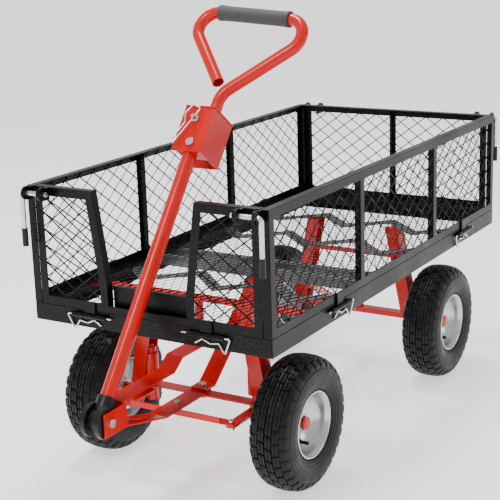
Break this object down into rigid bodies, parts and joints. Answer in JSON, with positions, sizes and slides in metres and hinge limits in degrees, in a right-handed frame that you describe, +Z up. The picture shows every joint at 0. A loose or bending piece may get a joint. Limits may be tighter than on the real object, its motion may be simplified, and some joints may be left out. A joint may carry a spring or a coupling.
{
  "type": "garden cart",
  "caption": "Mesh-sided garden pull cart with folding side panels, pin latches, pneumatic-style wheels, steered front axle and a lockable loop handle.",
  "frame": {"origin": "on the ground below the middle of the whole cart, drawbar included", "axes": "+X to the cart's own left, +Y to its rear, +Z up"},
  "size_m": [0.633, 1.494, 1.0322],
  "materials": {
    "black_coat": "gloss, slightly textured powder coat",
    "red_paint": "gloss",
    "zinc": "bright zinc plate",
    "rim_silver": "satin silver paint",
    "tyre": "matt rubber with block tread",
    "grip_foam": "foam",
    "socket_plastic": "satin moulded plastic",
    "floor_grey": "satin grey"
  },
  "bodies": {
    "cart": {"tray_rail_front": "black_coat", "tray_rail_rear": "black_coat", "tray_rail_left": "black_coat", "tray_rail_right": "black_coat", "floor_mesh": "black_coat", "floor_cross_members": "floor_grey", "front_sill": "black_coat", "hinge_knuckles": "black_coat", "hinge_pins": "zinc", "front_axle_beam": "red_paint", "front_axle_frame": "red_paint", "kingpin_sleeves": "red_paint", "brace_straps": "red_paint", "rear_axle_frame": "red_paint", "rear_axle": "red_paint", "steering_post": "red_paint"},
    "side_panel_left": {"side_panel_frame_left": "black_coat", "side_panel_mesh_left": "black_coat", "side_panel_hinges_left": "black_coat", "latch_guides_left": "black_coat"},
    "front_knuckle_left": {"steering_knuckle_left": "red_paint"},
    "latch_pin_front_left_body": {"latch_pin_front_left": "zinc"},
    "wheel_front_left": {"tyre_front_left": "tyre", "rim_front_left": "rim_silver"},
    "latch_pin_rear_left_body": {"latch_pin_rear_left": "zinc"},
    "wheel_rear_left": {"tyre_rear_left": "tyre", "rim_rear_left": "rim_silver"},
    "side_panel_right": {"side_panel_frame_right": "black_coat", "side_panel_mesh_right": "black_coat", "side_panel_hinges_right": "black_coat", "latch_guides_right": "black_coat"},
    "front_knuckle_right": {"steering_knuckle_right": "red_paint"},
    "latch_pin_front_right_body": {"latch_pin_front_right": "zinc"},
    "wheel_front_right": {"tyre_front_right": "tyre", "rim_front_right": "rim_silver"},
    "latch_pin_rear_right_body": {"latch_pin_rear_right": "zinc"},
    "wheel_rear_right": {"tyre_rear_right": "tyre", "rim_rear_right": "rim_silver"},
    "front_panel": {"front_panel_frame": "black_coat", "front_panel_mesh": "black_coat", "front_panel_hinges": "black_coat", "front_latch_eyes": "black_coat"},
    "rear_panel": {"rear_panel_frame": "black_coat", "rear_panel_mesh": "black_coat", "rear_panel_hinges": "black_coat", "rear_latch_eyes": "black_coat"},
    "drawbar": {"drawbar_fork": "red_paint", "drawbar_upper_arm": "red_paint", "drawbar_clevis": "red_paint", "drawbar_bolts": "zinc"},
    "tie_rod_body": {"tie_rod": "red_paint", "tie_rod_bolts": "zinc"},
    "tow_handle": {"tow_tube": "red_paint", "handle_socket": "socket_plastic", "hitch_box": "red_paint", "loop_pivot_bolt": "zinc"},
    "loop": {"handle_loop": "red_paint", "handle_grip": "grip_foam"},
    "hitch_pin_body": {"hitch_pin": "zinc"}
  },
  "joints": [
    {"name": "left_panel_fold", "type": "hinge", "parent": "cart", "child": "side_panel_left", "pos_m": [0.311, 0.09, 0.4], "axis": [0, 1, 0], "range_deg": [0, 172]},
    {"name": "right_panel_fold", "type": "hinge", "parent": "cart", "child": "side_panel_right", "pos_m": [-0.311, 0.09, 0.4], "axis": [0, -1, 0], "range_deg": [0, 172]},
    {"name": "front_panel_fold", "type": "hinge", "parent": "cart", "child": "front_panel", "pos_m": [0, -0.536, 0.4], "axis": [1, 0, 0], "range_deg": [0, 172]},
    {"name": "rear_panel_fold", "type": "hinge", "parent": "cart", "child": "rear_panel", "pos_m": [0, 0.716, 0.4], "axis": [-1, 0, 0], "range_deg": [0, 172]},
    {"name": "latch_front_left_pull", "type": "slide", "parent": "side_panel_left", "child": "latch_pin_front_left_body", "axis": [1, 0, 0], "range_m": [0, 0.03]},
    {"name": "latch_front_right_pull", "type": "slide", "parent": "side_panel_right", "child": "latch_pin_front_right_body", "axis": [-1, 0, 0], "range_m": [0, 0.03]},
    {"name": "latch_rear_left_pull", "type": "slide", "parent": "side_panel_left", "child": "latch_pin_rear_left_body", "axis": [1, 0, 0], "range_m": [0, 0.03]},
    {"name": "latch_rear_right_pull", "type": "slide", "parent": "side_panel_right", "child": "latch_pin_rear_right_body", "axis": [-1, 0, 0], "range_m": [0, 0.03]},
    {"name": "drawbar_steer", "type": "hinge", "parent": "cart", "child": "drawbar", "pos_m": [0, -0.331, 0.188], "axis": [0, 0, 1], "range_deg": [-18, 18]},
    {"name": "knuckle_left_steer", "type": "hinge", "parent": "cart", "child": "front_knuckle_left", "pos_m": [0.141, -0.331, 0.2], "axis": [0, 0, 1], "range_deg": [-18, 18]},
    {"name": "knuckle_right_steer", "type": "hinge", "parent": "cart", "child": "front_knuckle_right", "pos_m": [-0.141, -0.331, 0.2], "axis": [0, 0, 1], "range_deg": [-18, 18]},
    {"name": "tie_rod_swing", "type": "hinge", "parent": "drawbar", "child": "tie_rod_body", "pos_m": [0, -0.435, 0.167], "axis": [0, 0, 1], "range_deg": [-18, 18]},
    {"name": "handle_pitch", "type": "hinge", "parent": "drawbar", "child": "tow_handle", "pos_m": [0, -0.711, 0.25], "axis": [1, 0, 0], "range_deg": [0, 115]},
    {"name": "loop_fold", "type": "hinge", "parent": "tow_handle", "child": "loop", "pos_m": [0.005, -0.3045, 0.72966], "axis": [0, -0.7934, 0.6088], "range_deg": [0, 75]},
    {"name": "hitch_pin_pull", "type": "slide", "parent": "tow_handle", "child": "hitch_pin_body", "axis": [0, -0.7934, 0.6088], "range_m": [0, 0.06]},
    {"name": "wheel_front_left_spin", "type": "hinge", "parent": "front_knuckle_left", "child": "wheel_front_left", "pos_m": [0.2485, -0.331, 0.152], "axis": [1, 0, 0], "continuous": true},
    {"name": "wheel_rear_left_spin", "type": "hinge", "parent": "cart", "child": "wheel_rear_left", "pos_m": [0.2485, 0.456, 0.152], "axis": [1, 0, 0], "continuous": true},
    {"name": "wheel_front_right_spin", "type": "hinge", "parent": "front_knuckle_right", "child": "wheel_front_right", "pos_m": [-0.2485, -0.331, 0.152], "axis": [1, 0, 0], "continuous": true},
    {"name": "wheel_rear_right_spin", "type": "hinge", "parent": "cart", "child": "wheel_rear_right", "pos_m": [-0.2485, 0.456, 0.152], "axis": [1, 0, 0], "continuous": true}
  ],
  "couplings": [
    {"joint": "knuckle_left_steer", "follows": "drawbar_steer", "ratio": 1},
    {"joint": "knuckle_right_steer", "follows": "drawbar_steer", "ratio": 1},
    {"joint": "tie_rod_swing", "follows": "drawbar_steer", "ratio": -1}
  ]
}
